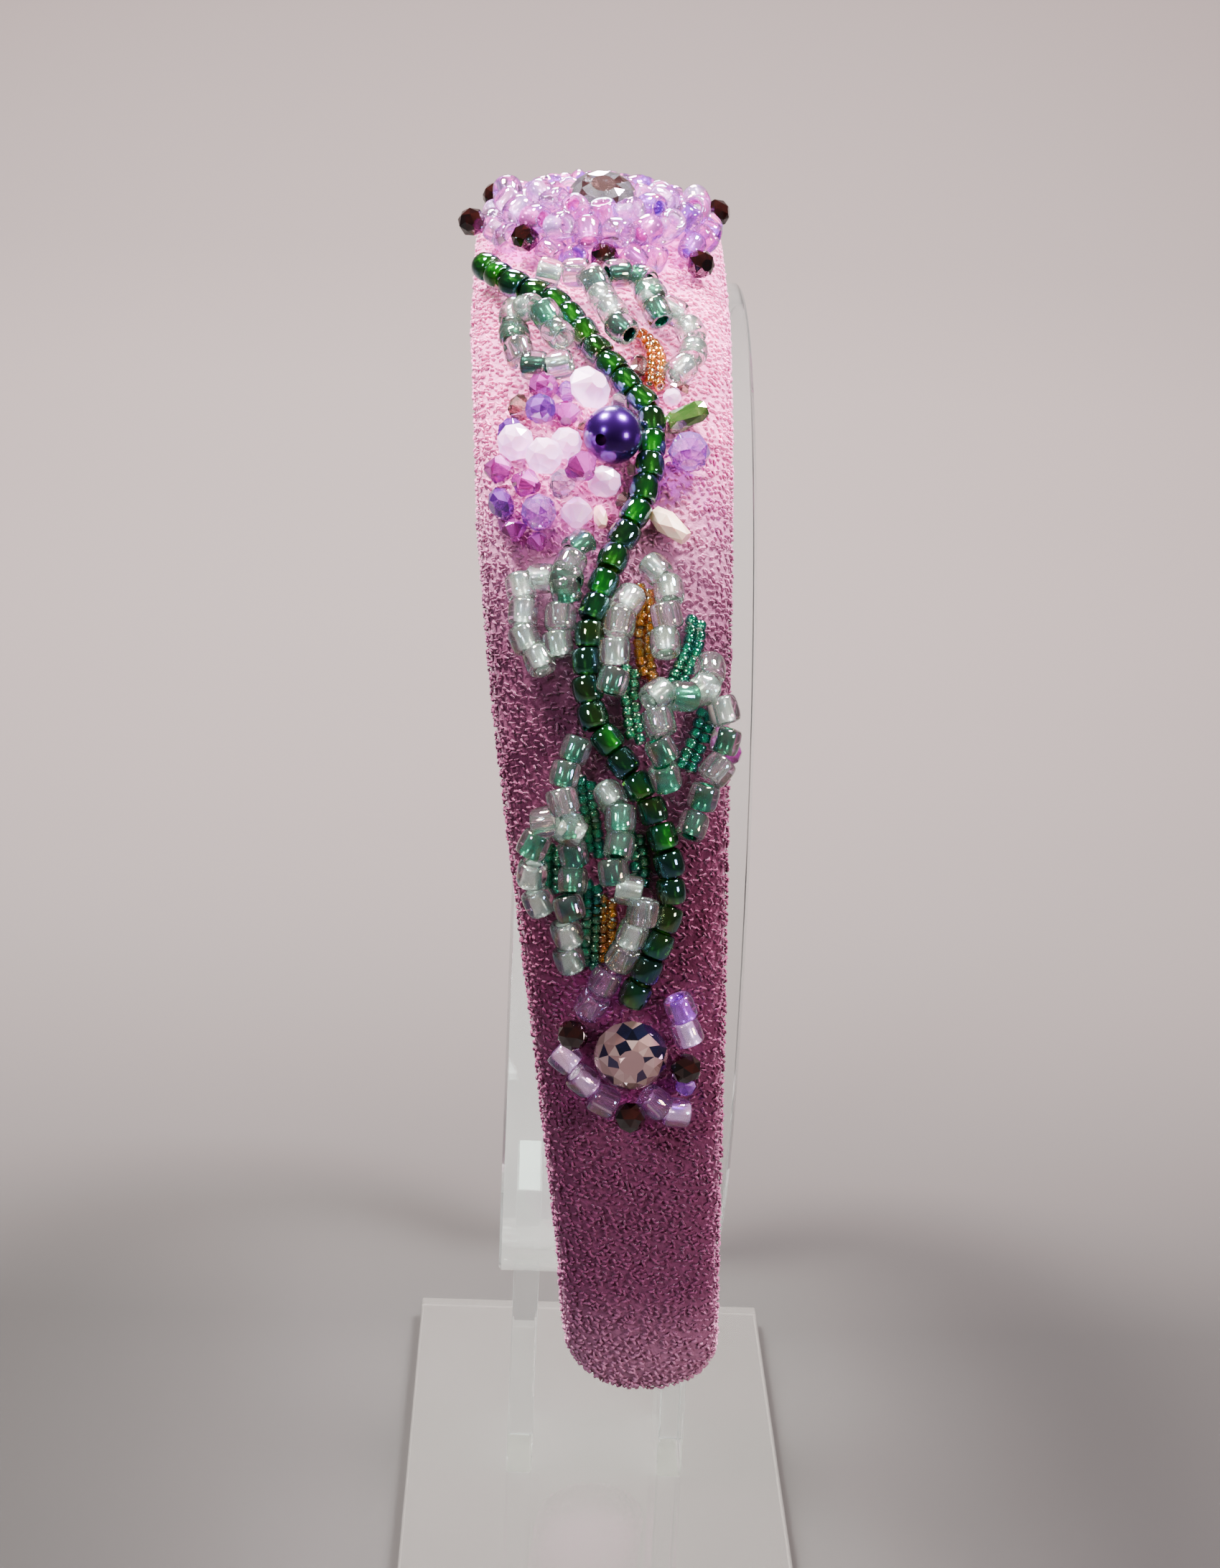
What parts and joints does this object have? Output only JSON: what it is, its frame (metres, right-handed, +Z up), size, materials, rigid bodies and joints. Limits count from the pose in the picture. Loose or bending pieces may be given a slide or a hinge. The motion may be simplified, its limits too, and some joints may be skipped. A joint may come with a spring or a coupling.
{
  "type": "jeweled padded headband on a clear acrylic stand",
  "caption": "Wide padded headband with a beaded vine, flowers and cut crystals down one side, held by a loop of clear acrylic strip on two posts and a flat base.",
  "frame": {"origin": "middle of the base plate's underside", "axes": "+Z up; the band bends in the YZ plane and its decorated leg faces -Y; +X is across the band, to the right as seen from the decorated side"},
  "size_m": [0.06, 0.1756, 0.2097],
  "materials": {
    "clear_acrylic": "polished, clear",
    "velour": "soft looped pile, mauve pink",
    "green_glass": "green with an iridescent coat",
    "leaf_glass": "clear with a green lining and an iridescent coat",
    "amber_glass": "silver-lined amber",
    "teal_glass": "silver-lined teal",
    "opal_glass": "milky pink opal, cut",
    "garnet_glass": "dark garnet, cut",
    "pink_glass": "pink, cut",
    "violet_glass": "violet, cut",
    "lilac_glass": "lilac with an iridescent coat",
    "smoke_glass": "smoky rose, cut",
    "clear_glass": "clear, cut",
    "rose_glass": "pale rose, cut",
    "olive_glass": "green, smooth",
    "cream_chip": "cream, worn smooth",
    "purple_pearl": "dark purple pearl"
  },
  "bodies": {
    "root": {"acrylic_base": "clear_acrylic", "acrylic_post_left": "clear_acrylic", "acrylic_post_right": "clear_acrylic", "acrylic_arch": "clear_acrylic", "padded_band": "velour", "vine_stem": "green_glass", "leaf_upper_left": "leaf_glass", "leaf_upper_middle": "leaf_glass", "leaf_middle_left": "leaf_glass", "leaf_middle_right": "leaf_glass", "leaf_middle_centre": "leaf_glass", "leaf_side": "leaf_glass", "leaf_lower_left": "leaf_glass", "leaf_lower_centre": "leaf_glass", "amber_strand_upper": "amber_glass", "amber_strand_middle": "amber_glass", "amber_strand_lower": "amber_glass", "teal_strand_1": "teal_glass", "teal_strand_2": "teal_glass", "teal_strand_3": "teal_glass", "teal_strand_4": "teal_glass", "teal_strand_5": "teal_glass", "teal_strand_6": "teal_glass", "teal_strand_7": "teal_glass", "opal_1": "opal_glass", "opal_2": "opal_glass", "opal_3": "opal_glass", "opal_4": "opal_glass", "opal_5": "opal_glass", "opal_6": "opal_glass", "fuchsia_bead": "pink_glass", "smoke_crystal": "smoke_glass", "rose_crystal": "pink_glass", "violet_bead": "violet_glass", "violet_crystal": "violet_glass", "magenta_crystal": "pink_glass", "mauve_crystal": "pink_glass", "grey_crystal": "clear_glass", "pink_crystal": "pink_glass", "violet_rondelle": "violet_glass", "clear_violet_crystal": "lilac_glass", "plum_crystal": "pink_glass", "lilac_round_bead": "lilac_glass", "green_tube_bead": "olive_glass", "cream_chip": "cream_chip", "crown_garnet_1": "garnet_glass", "crown_garnet_2": "garnet_glass", "crown_garnet_3": "garnet_glass", "crown_garnet_4": "garnet_glass", "crown_garnet_5": "garnet_glass", "crown_garnet_6": "garnet_glass", "lower_garnet_1": "garnet_glass", "lower_garnet_2": "garnet_glass", "lower_garnet_3": "garnet_glass", "pearl": "purple_pearl", "crown_flower_beads": "lilac_glass", "lower_flower_beads": "lilac_glass", "crown_stone": "clear_glass", "lower_stone": "rose_glass"}
  },
  "joints": []
}
